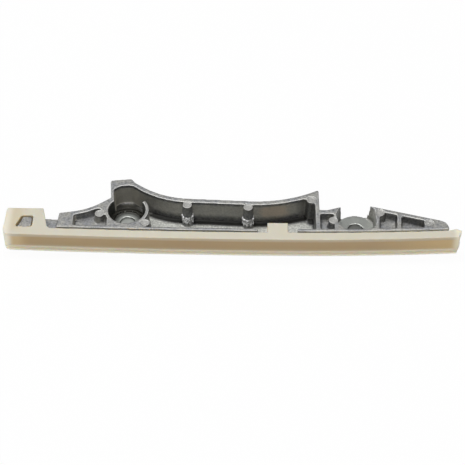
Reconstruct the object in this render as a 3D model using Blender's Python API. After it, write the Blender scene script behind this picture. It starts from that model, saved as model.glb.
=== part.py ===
"""Timing chain guide: a die-cast aluminium carrier with a moulded slide shoe on its front.

The guide lies on its flat back. X runs along it, Y runs from the chain to the rear and Z is up,
across the chain. Sizes are in millimetres and the meshes are made in metres. The plan is drawn
from the crown of the slide face, where its two arcs meet with a common tangent along X.
"""

import math

import bmesh
import bpy

METRES_PER_MM = 0.001
CHORD_ERROR = 0.03
FIT_GAP = 0.3
OVERLAP = 1.0

# Slide face, seen in plan
RAIL_RADIUS_LEFT = 4040.0
RAIL_RADIUS_RIGHT = 1540.0
RAIL_STEP = 12.0

# Slide shoe
SHOE_LEFT = -163.3
SHOE_RIGHT = 102.8
SHOE_BOTTOM = 2.5
SHOE_HEIGHT = 13.7
SHOE_DEPTH = 5.9
GUIDE_RIB_UPPER = 2.4
GUIDE_RIB_LOWER = 1.4
SLIDE_RECESS = 2.2
SHOE_LEFT_CORNER_RADIUS = 4.0
SHOE_RIGHT_SLANT = 2.4
SHOE_RIGHT_CHAMFER = 3.0
SHOE_RIGHT_CHAMFER_DROP = 1.6
SHOE_HEEL = 1.0

# Head flap at the left end of the shoe, and its window
HEAD_LENGTH = 23.0
HEAD_REAR = 24.8
HEAD_REAR_DROP = 0.3
HEAD_LEFT_SLANT = 0.4
HEAD_RIGHT_SLANT = 1.1
HEAD_SIDE_SLANT = 2.6
HEAD_CORNER_RADIUS = 1.6
HEAD_RIGHT_CORNER_RADIUS = 0.8
HEAD_INNER_RADIUS = 3.2
HEAD_END_WALL = 3.0
ROOT_BLEND = 0.05
WINDOW_RIGHT = 16.6
WINDOW_WIDTH_FRONT = 10.0
WINDOW_WIDTH_REAR = 6.8
WINDOW_FRONT = 9.3
WINDOW_REAR = 18.3
WINDOW_RADIUS = 1.2
STUD_SINK = 0.6
STUD_GAP = 0.5
STUD_WIDTH = 5.9
STUD_RADIUS = 1.4

# Middle tab of the shoe, and the notch that it passes through
TAB_CENTRE = -3.8
TAB_WIDTH = 12.1
TAB_REAR = 13.8
TAB_THICKNESS = 3.0
TAB_ROOT_RADIUS = 0.8
TAB_HOOK_DEPTH = 2.2
TAB_HOOK_LENGTH = 2.0
HOOK_BELOW_TOP = 1.0
NOTCH_WIDTH = 23.0
NOTCH_CLEARANCE = 0.6

# Key on the carrier's front face that the shoe's groove slides over
KEY_HEIGHT = 3.6
KEY_LENGTH_FROM_FRONT = 1.5
KEY_CENTRE_HEIGHT = 9.3
KEY_LEFT_MARGIN = 7.0
KEY_RIGHT_MARGIN = 9.0

# Carrier levels above its flat back
RIM = 17.0
WEB = 2.5
TONGUE_TOP = 11.6
SMALL_POCKET_FLOOR = 11.4
BOLT_SEAT = 6.8
COUNTERBORE_FLOOR = 7.7
BACK_CHAMFER = 0.6
ROOT = 0.5

# Carrier walls and cast radii
FRONT_WALL = 2.2
SEAT_FRONT_WALL = 1.8
REAR_WALL = 3.5
ARM_WALL = 3.0
TAPER = math.radians(1.0)
FLOOR_FILLET = 1.4
POCKET_FILLET = 1.0
CORNER_OVER_FILLET = 0.2
CAVITY_CORNER_RADIUS = 5.0
CAVITY_CORNER_REACH = 1.7
FILLET_STEPS = 3

# Bolt positions
BOLT_A = (-92.3, 22.7)
BOLT_B = (42.3, 18.3)
BOLT_HOLE_RADIUS = 4.5
COUNTERBORE_RADIUS = 10.9
SPOT_FACE_RADIUS = 9.0
RING_WALL = 2.2
RING_OPEN_FROM = math.radians(39.0)
RING_OPEN_TO = math.radians(136.0)
RING_FRONT_HALF_WIDTH = 11.2
RING_FRONT_DEPTH = 6.0
BOSS_MARGIN = 0.4
SEAT_RADIUS = 11.4
SEAT_FLOOR_RADIUS = 11.6
SEAT_FLOOR_SHIFT = (0.4, 0.2)
SEAT_RIM_RADIUS = 12.2
SEAT_RIM_SHIFT = (0.5, 0.3)
SEAT_RIGHT = 11.1

# Corners of the rear edge around bolt A, from the bolt's centre, and their radii
ARM_SHOULDER = (-22.5, 0.4)
ARM_SHOULDER_RADIUS = 36.0
EAR_FOOT = (-10.0, 10.6)
EAR_FOOT_RADIUS = 0.5
EAR_REAR_LEFT = (-11.4, 25.4)
EAR_REAR_LEFT_RADIUS = 1.4
EAR_REAR_RIGHT = (1.1, 26.9)
EAR_REAR_RIGHT_RADIUS = 0.8
EAR_SHOULDER = (3.9, 23.2)
EAR_SHOULDER_RADIUS = 5.0
ARCH_LEFT = (21.0, 10.9)
ARCH_LEFT_RADIUS = 49.0

# Corners of the cavity inside the ear, from the centre of bolt A
EAR_INSIDE_LEFT = (-8.6, 17.6)
EAR_INSIDE_REAR_LEFT = (-4.6, 20.6)
EAR_INSIDE_REAR_LEFT_RADIUS = 7.0
EAR_INSIDE_REAR_RIGHT = (1.9, 20.8)
EAR_INSIDE_REAR_RIGHT_RADIUS = 4.0
EAR_INSIDE_FOOT = (-7.6, 7.3)

# Pocket in the arm, from the centre of bolt A
ARM_POCKET_LEFT = -30.6
ARM_POCKET_REAR_RIGHT = -17.5
ARM_POCKET_RIGHT = (-16.6, 1.2)
ARM_POCKET_MIDDLE = (-12.0, -1.5)
ARM_POCKET_FRONT_RIGHT = (-4.0, -6.0)

# Right-hand end of the arch: a radius and a short straight that rises to the horn
ARCH_RIGHT_RADIUS = 74.0
ARCH_RIGHT_TURN = math.radians(29.9)
ARCH_RIGHT_RISE = math.radians(27.1)
ARCH_RIGHT_STRAIGHT = 4.4
HORN_REAR = 41.2
HORN_RADIUS = 0.8

# Rear corners and pockets around bolt B, from the bolt's centre
NOSE_START = (6.2, 10.1)
SEAT_CORNER = (-7.8, 8.5)
STEP_REAR = (-10.0, 8.2)
STEP_REAR_RADIUS = 2.0
STEP_FRONT = (-16.8, 5.9)
STEP_FRONT_RADIUS = 4.0
GAP_POCKET_MARGIN = 0.4
GAP_POCKET_CORNER = (-13.3, 2.6)
NOSE_POCKETS = (("nose_pocket_left", 14.0, 23.7, 0.9), ("nose_pocket_right", 26.5, 39.5, 0.8))

# Ends and breaks of the carrier along X
TONGUE_REAR = 20.3
TONGUE_REAR_DROP = 0.4
TONGUE_CORNER_RADIUS = 1.0
BLOCK_LEFT = -131.7
BLOCK_LEAN = 0.6
CARRIER_RIGHT = 95.4
TRANSVERSE_WALL_RIGHT = 20.9
TRANSVERSE_WALL = 2.8
NOSE_RADIUS = 6.0
NOSE_CORNER_Y = 15.0

# Ejector-pin posts
POST_RADIUS = 2.85
POST_FLARE = 0.2
POST_FOOT_WIDTH_SHARE = 0.1
POST_FOOT_HEIGHT_SHARE = 0.3

METAL_COLOUR = (0.42, 0.42, 0.41, 1.0)
SHOE_COLOUR = (0.66, 0.58, 0.44, 1.0)

SHOE_TOP = SHOE_BOTTOM + SHOE_HEIGHT
CARRIER_FRONT = SHOE_DEPTH + FIT_GAP
KEY_BOTTOM = KEY_CENTRE_HEIGHT - KEY_HEIGHT / 2
KEY_TOP = KEY_CENTRE_HEIGHT + KEY_HEIGHT / 2
TONGUE_LEFT = SHOE_LEFT + HEAD_END_WALL + FIT_GAP
BLOCK_REAR = TONGUE_REAR - TONGUE_REAR_DROP
ABOVE_RIM = RIM + OVERLAP
RING_RADIUS = COUNTERBORE_RADIUS + RING_WALL
ARCH_RIGHT_REACH = ARCH_RIGHT_STRAIGHT + ARCH_RIGHT_RADIUS * math.tan(ARCH_RIGHT_TURN / 2)
ARCH_RIGHT = (
    TRANSVERSE_WALL_RIGHT - ARCH_RIGHT_REACH * math.cos(ARCH_RIGHT_RISE),
    HORN_REAR - ARCH_RIGHT_REACH * math.sin(ARCH_RIGHT_RISE),
)
CAVITY_RADIUS = FLOOR_FILLET + CORNER_OVER_FILLET
POCKET_RADIUS = POCKET_FILLET + CORNER_OVER_FILLET


# Plan curves

def rail_y(x, depth):
    """Rearward distance of the slide face's curve at x, moved back by depth."""
    radius = RAIL_RADIUS_LEFT if x < 0 else RAIL_RADIUS_RIGHT
    return radius - math.sqrt((radius - depth) ** 2 - x * x)


def rail_path(start, end, depth):
    """Points along the rail's curve from start to end."""
    count = max(1, math.ceil(abs(end - start) / RAIL_STEP))
    stations = [start + (end - start) * i / count for i in range(count + 1)]
    return [(x, rail_y(x, depth)) for x in stations]


def arc(centre, radius, start, end):
    """Points on a circular arc, ends included, within the chord error."""
    step = 2 * math.acos(1 - min(0.5, CHORD_ERROR / radius))
    count = max(2, math.ceil(abs(end - start) / step))
    angles = [start + (end - start) * i / count for i in range(count + 1)]
    return [(centre[0] + radius * math.cos(a), centre[1] + radius * math.sin(a)) for a in angles]


def circle(centre, radius, count=None):
    """Points round a circle, as many as the chord error needs unless a count is given."""
    if count is None:
        return arc(centre, radius, 0, 2 * math.pi)[:-1]
    turns = [2 * math.pi * i / count for i in range(count)]
    return [(centre[0] + radius * math.cos(a), centre[1] + radius * math.sin(a)) for a in turns]


def corner(bolt, place, radius=0.0):
    """A corner (x, y, radius) given by its place seen from a bolt's centre."""
    return bolt[0] + place[0], bolt[1] + place[1], radius


def rounded(corners):
    """A path through corners (x, y, radius), each one rounded by its own radius."""
    points = []
    count = len(corners)
    for i, (x, y, radius) in enumerate(corners):
        if radius <= 0:
            points.append((x, y))
            continue
        before = corners[(i - 1) % count]
        after = corners[(i + 1) % count]
        ax, ay = before[0] - x, before[1] - y
        bx, by = after[0] - x, after[1] - y
        a_length, b_length = math.hypot(ax, ay), math.hypot(bx, by)
        ax, ay, bx, by = ax / a_length, ay / a_length, bx / b_length, by / b_length
        half = math.acos(max(-1.0, min(1.0, ax * bx + ay * by))) / 2
        reach = radius / math.tan(half)
        mx, my = ax + bx, ay + by
        scale = radius / math.sin(half) / math.hypot(mx, my)
        centre = (x + mx * scale, y + my * scale)
        start = math.atan2(y + ay * reach - centre[1], x + ax * reach - centre[0])
        end = math.atan2(y + by * reach - centre[1], x + bx * reach - centre[0])
        turn = (end - start + math.pi) % (2 * math.pi) - math.pi
        points += arc(centre, radius, start, start + turn)
    return points


def offset(points, distance, closed=True):
    """The path moved to its left by distance, with mitred corners."""
    moved = []
    count = len(points)
    for i, (x, y) in enumerate(points):
        before = points[i - 1] if i > 0 or closed else None
        after = points[(i + 1) % count] if i < count - 1 or closed else None
        normals = []
        for a, b in ((before, (x, y)), ((x, y), after)):
            if a is not None and b is not None:
                dx, dy = b[0] - a[0], b[1] - a[1]
                length = math.hypot(dx, dy)
                normals.append((-dy / length, dx / length))
        nx = sum(n[0] for n in normals)
        ny = sum(n[1] for n in normals)
        scale = len(normals) * distance / (nx * nx + ny * ny)
        moved.append((x + nx * scale, y + ny * scale))
    return moved


def clipped(points, left, right):
    """The points of a path whose x lies between left and right."""
    return [p for p in points if left < p[0] < right]


# Outlines, drawn anticlockwise

def arch_outline():
    """Rear edge of the carrier from the transverse wall to the arm, right to left."""
    return rounded([
        (TRANSVERSE_WALL_RIGHT, ARCH_RIGHT[1], 0.0),
        (TRANSVERSE_WALL_RIGHT, HORN_REAR, HORN_RADIUS),
        ARCH_RIGHT + (ARCH_RIGHT_RADIUS,),
        corner(BOLT_A, ARCH_LEFT, ARCH_LEFT_RADIUS),
        corner(BOLT_A, EAR_SHOULDER, EAR_SHOULDER_RADIUS),
        corner(BOLT_A, EAR_REAR_RIGHT, EAR_REAR_RIGHT_RADIUS),
        corner(BOLT_A, EAR_REAR_LEFT, EAR_REAR_LEFT_RADIUS),
        corner(BOLT_A, EAR_FOOT, EAR_FOOT_RADIUS),
        corner(BOLT_A, ARM_SHOULDER, ARM_SHOULDER_RADIUS),
        (BLOCK_LEFT, BLOCK_REAR, 0.0),
    ])[1:-1]


def carrier_outline():
    """The whole casting in plan: front face, nose, rear edge and tongue."""
    front = rail_path(TONGUE_LEFT, CARRIER_RIGHT, CARRIER_FRONT)
    right_end = rounded([
        front[-1] + (0.0,),
        (CARRIER_RIGHT, NOSE_CORNER_Y, NOSE_RADIUS),
        corner(BOLT_B, NOSE_START),
        corner(BOLT_B, SEAT_CORNER),
        corner(BOLT_B, STEP_REAR, STEP_REAR_RADIUS),
        corner(BOLT_B, STEP_FRONT, STEP_FRONT_RADIUS),
        (TRANSVERSE_WALL_RIGHT, BOLT_B[1] + STEP_FRONT[1], 0.0),
        (TRANSVERSE_WALL_RIGHT, HORN_REAR, 0.0),
    ])[1:-1]
    tongue = rounded([
        (BLOCK_LEFT, BLOCK_REAR, 0.0),
        (TONGUE_LEFT, TONGUE_REAR, TONGUE_CORNER_RADIUS),
        front[0] + (0.0,),
    ])[:-1]
    return front + right_end + arch_outline() + tongue


def cavity_outline():
    """The main cavity at its floor: one wall inside the front face, the rear edge and the ear."""
    right = TRANSVERSE_WALL_RIGHT - TRANSVERSE_WALL
    front = rail_path(BOLT_A[0], right, CARRIER_FRONT + FRONT_WALL)
    rear = offset(arch_outline(), REAR_WALL, closed=False)
    reach = CAVITY_CORNER_RADIUS * CAVITY_CORNER_REACH
    rear = clipped(rear, BOLT_A[0] + EAR_SHOULDER[0], right - reach)
    rear = [p for p in rear if p[1] < BOLT_A[1] + EAR_INSIDE_REAR_LEFT[1]]
    slope = (rear[0][1] - rear[1][1]) / (rear[0][0] - rear[1][0])
    right_corner = rounded([
        front[-1] + (0.0,),
        (right, rear[0][1] + slope * (right - rear[0][0]), CAVITY_CORNER_RADIUS),
        rear[0] + (0.0,),
    ])[1:-1]
    ear = rounded([
        rear[-1] + (0.0,),
        corner(BOLT_A, EAR_INSIDE_REAR_RIGHT, EAR_INSIDE_REAR_RIGHT_RADIUS),
        corner(BOLT_A, EAR_INSIDE_REAR_LEFT, EAR_INSIDE_REAR_LEFT_RADIUS),
        corner(BOLT_A, EAR_INSIDE_LEFT, CAVITY_RADIUS),
        corner(BOLT_A, EAR_INSIDE_FOOT),
    ])[1:]
    return front + right_corner + rear + ear


def arm_pocket_outline():
    """Shallow pocket in the arm, left of the bolt ring."""
    left = BOLT_A[0] + ARM_POCKET_LEFT
    right = BOLT_A[0] + ARM_POCKET_FRONT_RIGHT[0]
    front = rail_path(left, right, CARRIER_FRONT + FRONT_WALL)
    rear = offset(arch_outline(), ARM_WALL, closed=False)
    rear = clipped(rear, left + OVERLAP / 2, BOLT_A[0] + ARM_POCKET_REAR_RIGHT)
    right_side = rounded([
        front[-1] + (0.0,),
        corner(BOLT_A, ARM_POCKET_FRONT_RIGHT),
        corner(BOLT_A, ARM_POCKET_MIDDLE),
        corner(BOLT_A, ARM_POCKET_RIGHT, POCKET_RADIUS),
        rear[0] + (0.0,),
    ])[1:-1]
    slope = (rear[-2][1] - rear[-1][1]) / (rear[-2][0] - rear[-1][0])
    return front + right_side + rear + [(left, rear[-1][1] - slope * (rear[-1][0] - left))]


def gap_pocket_outline():
    """Shallow pocket between the transverse wall and the right-hand bolt seat."""
    left = TRANSVERSE_WALL_RIGHT + GAP_POCKET_MARGIN
    right, rear, _ = corner(BOLT_B, GAP_POCKET_CORNER)
    front = rail_path(left, right, CARRIER_FRONT + FRONT_WALL)
    return front + rounded([
        front[-1] + (0.0,),
        (right, rear, POCKET_RADIUS),
        (left, rear, POCKET_RADIUS),
        front[0] + (0.0,),
    ])[1:-1]


def nose_pocket_outline(start, end, lean):
    """Shallow pocket in the nose, between two distances from bolt B, under the sloping edge."""
    left = BOLT_B[0] + start
    right = BOLT_B[0] + end
    edge_x, edge_y, _ = corner(BOLT_B, NOSE_START)
    slope = (NOSE_CORNER_Y - edge_y) / (CARRIER_RIGHT - edge_x)
    rear_left = edge_y + slope * (left - edge_x) - ARM_WALL
    rear_right = edge_y + slope * (right - edge_x) - ARM_WALL
    front = rail_path(left - lean, right - lean, CARRIER_FRONT + FRONT_WALL)
    return front + rounded([
        front[-1] + (0.0,),
        (right, rear_right, POCKET_RADIUS),
        (left, rear_left, POCKET_RADIUS),
        front[0] + (0.0,),
    ])[1:-1]


def seat_outline(radius, shift, count):
    """The right-hand seat: a circle that stops at the thin front wall and at a flat right side."""
    centre = corner(BOLT_B, shift)[:2]
    depth = CARRIER_FRONT + SEAT_FRONT_WALL
    right = BOLT_B[0] + SEAT_RIGHT
    points = circle(centre, radius, count)
    return [(min(x, right), max(y, rail_y(x, depth))) for x, y in points]


def shoe_outline():
    """The shoe's bar in plan: slide side, slanted right end, rear side and rounded left end."""
    front_right = SHOE_RIGHT - SHOE_RIGHT_SLANT
    front = rail_path(SHOE_LEFT + SHOE_LEFT_CORNER_RADIUS, front_right, 0.0)
    heel_y = rail_y(SHOE_RIGHT, SHOE_DEPTH) + SHOE_HEEL
    rear = rail_path(CARRIER_RIGHT + FIT_GAP, SHOE_LEFT + HEAD_LENGTH, SHOE_DEPTH)
    left = rounded([
        rear[-1] + (0.0,),
        (SHOE_LEFT, rear[-1][1], 0.0),
        (SHOE_LEFT, front[0][1], SHOE_LEFT_CORNER_RADIUS),
        front[0] + (0.0,),
    ])[1:-2]
    heel = [
        (SHOE_RIGHT, heel_y - SHOE_RIGHT_CHAMFER_DROP),
        (SHOE_RIGHT - SHOE_RIGHT_CHAMFER, heel_y),
    ]
    return front + heel + rear + left


def head_outline():
    """The head in plan: rounded left end, flap and the rounded step back to the bar."""
    step_x = SHOE_LEFT + HEAD_LENGTH + HEAD_SIDE_SLANT
    inner = step_x + HEAD_INNER_RADIUS
    flap_right = SHOE_LEFT + HEAD_LENGTH - HEAD_RIGHT_SLANT
    front = rail_path(SHOE_LEFT + SHOE_LEFT_CORNER_RADIUS, inner, SLIDE_RECESS + FIT_GAP)
    return front + rounded([
        front[-1] + (0.0,),
        (inner, rail_y(inner, SHOE_DEPTH) - ROOT_BLEND, 0.0),
        (step_x, rail_y(step_x, SHOE_DEPTH) + ROOT_BLEND, HEAD_INNER_RADIUS),
        (flap_right, HEAD_REAR - HEAD_REAR_DROP, HEAD_RIGHT_CORNER_RADIUS),
        (SHOE_LEFT + HEAD_LEFT_SLANT, HEAD_REAR, HEAD_CORNER_RADIUS),
        (SHOE_LEFT, front[0][1], SHOE_LEFT_CORNER_RADIUS - SLIDE_RECESS),
        front[0] + (0.0,),
    ])[1:-2]


def window_outline():
    """The window in the flap, a slanted quadrilateral."""
    right = SHOE_LEFT + WINDOW_RIGHT
    return rounded([
        (right - WINDOW_WIDTH_FRONT, WINDOW_FRONT, WINDOW_RADIUS),
        (right, WINDOW_FRONT, WINDOW_RADIUS),
        (right, WINDOW_REAR, WINDOW_RADIUS),
        (right - WINDOW_WIDTH_REAR, WINDOW_REAR, WINDOW_RADIUS),
    ])


def stud_outline():
    """The carrier's stud in the window, square to the guide, close to the window's right side."""
    right = SHOE_LEFT + WINDOW_RIGHT - STUD_GAP
    left = right - STUD_WIDTH
    front = WINDOW_FRONT + STUD_GAP
    rear = WINDOW_REAR - STUD_GAP
    return rounded([
        (left, front, STUD_RADIUS),
        (right, front, STUD_RADIUS),
        (right, rear, STUD_RADIUS),
        (left, rear, STUD_RADIUS),
    ])


def tab_outline():
    """The middle tab in plan, with a small radius on each side of its root."""
    left = TAB_CENTRE - TAB_WIDTH / 2
    right = TAB_CENTRE + TAB_WIDTH / 2
    radius = TAB_ROOT_RADIUS
    root = rail_y(TAB_CENTRE, SHOE_DEPTH) - ROOT_BLEND
    base = rail_path(left - radius, right + radius, SHOE_DEPTH - OVERLAP)
    right_root = arc((right + radius, root + radius), radius, -math.pi / 2, -math.pi)
    left_root = arc((left - radius, root + radius), radius, 0.0, -math.pi / 2)
    return base + right_root + [(right, TAB_REAR), (left, TAB_REAR)] + left_root


def plan_extent():
    """Lowest and highest plan coordinates of the two pieces."""
    points = carrier_outline() + shoe_outline() + head_outline()
    xs = [p[0] for p in points]
    ys = [p[1] for p in points]
    return min(xs), max(xs), min(ys), max(ys)


LEFT_MOST, RIGHT_MOST, FRONT_MOST, REAR_MOST = plan_extent()
ORIGIN_X = (LEFT_MOST + RIGHT_MOST) / 2
ORIGIN_Y = (FRONT_MOST + REAR_MOST) / 2


# Solids

def new_object(name, bm):
    bmesh.ops.recalc_face_normals(bm, faces=bm.faces)
    mesh = bpy.data.meshes.new(name)
    bm.to_mesh(mesh)
    bm.free()
    item = bpy.data.objects.new(name, mesh)
    bpy.context.scene.collection.objects.link(item)
    return item


def loft(name, sections):
    """A closed solid through sections (outline, height), bottom to top, with equal counts."""
    bm = bmesh.new()
    rings = []
    for outline, height in sections:
        ring = []
        for x, y in outline:
            place = ((x - ORIGIN_X), (y - ORIGIN_Y), height)
            ring.append(bm.verts.new([value * METRES_PER_MM for value in place]))
        rings.append(ring)
    for lower, upper in zip(rings, rings[1:]):
        count = len(lower)
        for i in range(count):
            j = (i + 1) % count
            bm.faces.new((lower[i], lower[j], upper[j], upper[i]))
    bm.faces.new(reversed(rings[0]))
    bm.faces.new(rings[-1])
    return new_object(name, bm)


def prism(name, outline, bottom, top):
    return loft(name, [(outline, bottom), (outline, top)])


def pocket(name, outline, floor, fillet):
    """A cutter that opens upwards from a filleted floor with the casting's taper."""
    sections = []
    for i in range(FILLET_STEPS + 1):
        angle = math.pi / 2 * i / FILLET_STEPS
        inward = fillet * (1 - math.sin(angle))
        sections.append((offset(outline, inward), floor + fillet * (1 - math.cos(angle))))
    outward = (ABOVE_RIM - floor) * math.tan(TAPER)
    sections.append((offset(outline, -outward), ABOVE_RIM))
    return loft(name, sections)


def post(name, centre, bottom):
    """An ejector-pin post: slightly tapered, with a flared foot."""
    count = len(circle(centre, POST_RADIUS))
    foot_width = POST_FOOT_WIDTH_SHARE * (RIM - bottom)
    foot_height = POST_FOOT_HEIGHT_SHARE * (RIM - bottom)
    foot_radius = POST_RADIUS + POST_FLARE + foot_width
    sections = [(circle(centre, foot_radius, count), bottom - OVERLAP)]
    for i in range(FILLET_STEPS + 1):
        angle = math.pi / 2 * i / FILLET_STEPS
        radius = foot_radius - foot_width * math.sin(angle)
        height = bottom + foot_height * (1 - math.cos(angle))
        sections.append((circle(centre, radius, count), height))
    sections.append((circle(centre, POST_RADIUS, count), RIM))
    return loft(name, sections)


def combine(body, tool, operation):
    """Adds or removes the tool with a Boolean that stays on the body."""
    step = body.modifiers.new(tool.name, "BOOLEAN")
    step.operation = operation
    step.solver = "EXACT"
    step.object = tool
    tool.hide_render = True
    tool.display_type = "WIRE"


def cut(body, tool):
    combine(body, tool, "DIFFERENCE")


def add(body, tool):
    combine(body, tool, "UNION")


def give_material(item, name, colour, roughness, metallic):
    material = bpy.data.materials.new(name)
    material.use_nodes = True
    shader = material.node_tree.nodes["Principled BSDF"]
    shader.inputs["Base Color"].default_value = colour
    shader.inputs["Roughness"].default_value = roughness
    shader.inputs["Metallic"].default_value = metallic
    item.data.materials.append(material)


# Carrier casting

def add_ring(body):
    """The boss under bolt A and its ring wall, which is open towards the ear."""
    boss = circle(BOLT_A, COUNTERBORE_RADIUS + BOSS_MARGIN)
    add(body, prism("ring_boss", boss, ROOT, COUNTERBORE_FLOOR))
    wall = arc(BOLT_A, RING_RADIUS, RING_OPEN_TO, RING_OPEN_FROM + 2 * math.pi)
    wall += arc(BOLT_A, COUNTERBORE_RADIUS - OVERLAP, RING_OPEN_FROM + 2 * math.pi, RING_OPEN_TO)
    add(body, prism("ring_wall", wall, ROOT, RIM))
    left = BOLT_A[0] - RING_FRONT_HALF_WIDTH
    right = BOLT_A[0] + RING_FRONT_HALF_WIDTH
    front = rail_path(left, right, CARRIER_FRONT + FRONT_WALL / 2)
    rear = BOLT_A[1] - RING_FRONT_DEPTH
    add(body, prism("ring_front_web", front + [(right, rear), (left, rear)], ROOT, RIM))


def add_seat(body):
    """The boss under bolt B, which stands out behind the casting's rear edge."""
    count = len(circle(BOLT_B, SEAT_RIM_RADIUS))
    outline = seat_outline(SEAT_RADIUS, (0.0, 0.0), count)
    add(body, prism("seat_boss", outline, ROOT, BOLT_SEAT))


def cut_bolt_positions(body):
    """Counterbore, spot face and hole at bolt A; open seat and hole at bolt B."""
    counterbore = circle(BOLT_A, COUNTERBORE_RADIUS)
    cut(body, prism("counterbore", counterbore, COUNTERBORE_FLOOR, ABOVE_RIM))
    cut(body, prism("spot_face", circle(BOLT_A, SPOT_FACE_RADIUS), BOLT_SEAT, ABOVE_RIM))
    count = len(circle(BOLT_B, SEAT_RIM_RADIUS))
    cut(body, loft("open_seat", [
        (seat_outline(SEAT_FLOOR_RADIUS, SEAT_FLOOR_SHIFT, count), BOLT_SEAT),
        (seat_outline(SEAT_RIM_RADIUS, SEAT_RIM_SHIFT, count), ABOVE_RIM),
    ]))
    for name, centre in (("hole_a", BOLT_A), ("hole_b", BOLT_B)):
        cut(body, prism(name, circle(centre, BOLT_HOLE_RADIUS), -OVERLAP, ABOVE_RIM))


def add_posts(body):
    """Seven ejector-pin posts, in the cavity, the arm and the small pockets."""
    ax, ay = BOLT_A
    bx, by = BOLT_B
    posts = [
        (ax - 15.8, ay - 2.8, TONGUE_TOP),
        (ax + 11.4, ay - 10.2, WEB),
        (ax + 35.4, ay + 4.9, WEB),
        (ax + 71.3, ay + 3.3, WEB),
        (TRANSVERSE_WALL_RIGHT - 4.5, ay + 10.0, WEB),
        (bx - 13.6, by - 2.6, SMALL_POCKET_FLOOR),
        (bx + 13.9, by + 4.0, SMALL_POCKET_FLOOR),
    ]
    for i, (x, y, bottom) in enumerate(posts):
        add(body, post(f"post_{i + 1}", (x, y), bottom))


def add_key(body):
    """Key along the front face."""
    left = TONGUE_LEFT + KEY_LEFT_MARGIN
    right = CARRIER_RIGHT - KEY_RIGHT_MARGIN
    key_front = rail_path(left, right, CARRIER_FRONT - KEY_LENGTH_FROM_FRONT)
    key_back = rail_path(right, left, CARRIER_FRONT + FRONT_WALL / 2)
    add(body, prism("key", key_front + key_back, KEY_BOTTOM, KEY_TOP))


def cut_above_tongue(body):
    """Lowers the left end to the tongue's level; the block's end leans outwards going down."""
    left = TONGUE_LEFT - OVERLAP
    rear = TONGUE_REAR + OVERLAP
    front_corner = BLOCK_LEFT - BLOCK_LEAN
    outline = [
        (left, 0.0),
        (front_corner, 0.0),
        (front_corner, rail_y(BLOCK_LEFT, CARRIER_FRONT)),
        (BLOCK_LEFT, BLOCK_REAR),
        (BLOCK_LEFT, rear),
        (left, rear),
    ]
    cut(body, prism("above_tongue", outline, TONGUE_TOP, ABOVE_RIM))


def cut_notch(body):
    """Lowers the front wall where the shoe's tab passes over it."""
    left = TAB_CENTRE - NOTCH_WIDTH / 2
    right = TAB_CENTRE + NOTCH_WIDTH / 2
    outline = rail_path(left, right, 0.0)
    outline += rail_path(right, left, CARRIER_FRONT + FRONT_WALL + OVERLAP)
    floor = SHOE_TOP - TAB_THICKNESS - NOTCH_CLEARANCE
    cut(body, prism("notch", outline, floor, ABOVE_RIM))


def make_carrier():
    body = loft("carrier_casting", [
        (offset(carrier_outline(), BACK_CHAMFER), 0.0),
        (carrier_outline(), BACK_CHAMFER),
        (carrier_outline(), RIM),
    ])
    cut_above_tongue(body)
    cut(body, pocket("main_cavity", cavity_outline(), WEB, FLOOR_FILLET))
    cut(body, pocket("arm_pocket", arm_pocket_outline(), TONGUE_TOP, POCKET_FILLET))
    cut(body, pocket("gap_pocket", gap_pocket_outline(), SMALL_POCKET_FLOOR, POCKET_FILLET))
    for name, start, end, lean in NOSE_POCKETS:
        outline = nose_pocket_outline(start, end, lean)
        cut(body, pocket(name, outline, SMALL_POCKET_FLOOR, POCKET_FILLET))
    add_seat(body)
    add_ring(body)
    add_posts(body)
    cut_bolt_positions(body)
    cut_notch(body)
    add_key(body)
    add(body, prism("stud", stud_outline(), TONGUE_TOP - OVERLAP, SHOE_TOP - STUD_SINK))
    give_material(body, "die_cast_aluminium", METAL_COLOUR, 0.5, 1.0)
    return body


# Slide shoe

def cut_head(shoe):
    """Leaves the flap over the carrier's tongue, with its window."""
    left = TONGUE_LEFT - FIT_GAP
    right = SHOE_LEFT + HEAD_LENGTH + HEAD_SIDE_SLANT + HEAD_INNER_RADIUS + OVERLAP
    under = rail_path(left, right, SHOE_DEPTH)
    under += [(right, HEAD_REAR + OVERLAP), (left, HEAD_REAR + OVERLAP)]
    cut(shoe, prism("tongue_space", under, SHOE_BOTTOM - OVERLAP, TONGUE_TOP + FIT_GAP))
    cut(shoe, prism("window", window_outline(), TONGUE_TOP - OVERLAP, SHOE_TOP + OVERLAP))


def cut_slide_face(shoe):
    """The recess that the chain runs in, between the upper and the lower guide rib."""
    left = SHOE_LEFT - OVERLAP
    right = SHOE_RIGHT + OVERLAP
    recess = rail_path(left, right, -SLIDE_RECESS) + rail_path(right, left, SLIDE_RECESS)
    bottom = SHOE_BOTTOM + GUIDE_RIB_LOWER
    cut(shoe, prism("slide_recess", recess, bottom, SHOE_TOP - GUIDE_RIB_UPPER))


def cut_key_groove(shoe):
    """Groove in the back of the shoe for the carrier's key, open at the right."""
    left = TONGUE_LEFT + KEY_LEFT_MARGIN - FIT_GAP
    right = SHOE_RIGHT + OVERLAP
    groove = rail_path(left, right, CARRIER_FRONT - KEY_LENGTH_FROM_FRONT - FIT_GAP)
    groove += rail_path(right, left, SHOE_DEPTH + OVERLAP)
    cut(shoe, prism("key_groove", groove, KEY_BOTTOM - FIT_GAP, KEY_TOP + FIT_GAP))


def add_tab(shoe):
    """Tab over the notch in the carrier's front wall, with a hook behind that wall."""
    add(shoe, prism("tab", tab_outline(), SHOE_TOP - TAB_THICKNESS, SHOE_TOP))
    left = TAB_CENTRE - TAB_WIDTH / 2
    right = TAB_CENTRE + TAB_WIDTH / 2
    hook_front = CARRIER_FRONT + FRONT_WALL + NOTCH_CLEARANCE
    hook = rail_path(left, right, hook_front)
    hook += rail_path(right, left, hook_front + TAB_HOOK_LENGTH)
    bottom = SHOE_TOP - TAB_THICKNESS - TAB_HOOK_DEPTH
    add(shoe, prism("tab_hook", hook, bottom, SHOE_TOP - HOOK_BELOW_TOP))


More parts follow.
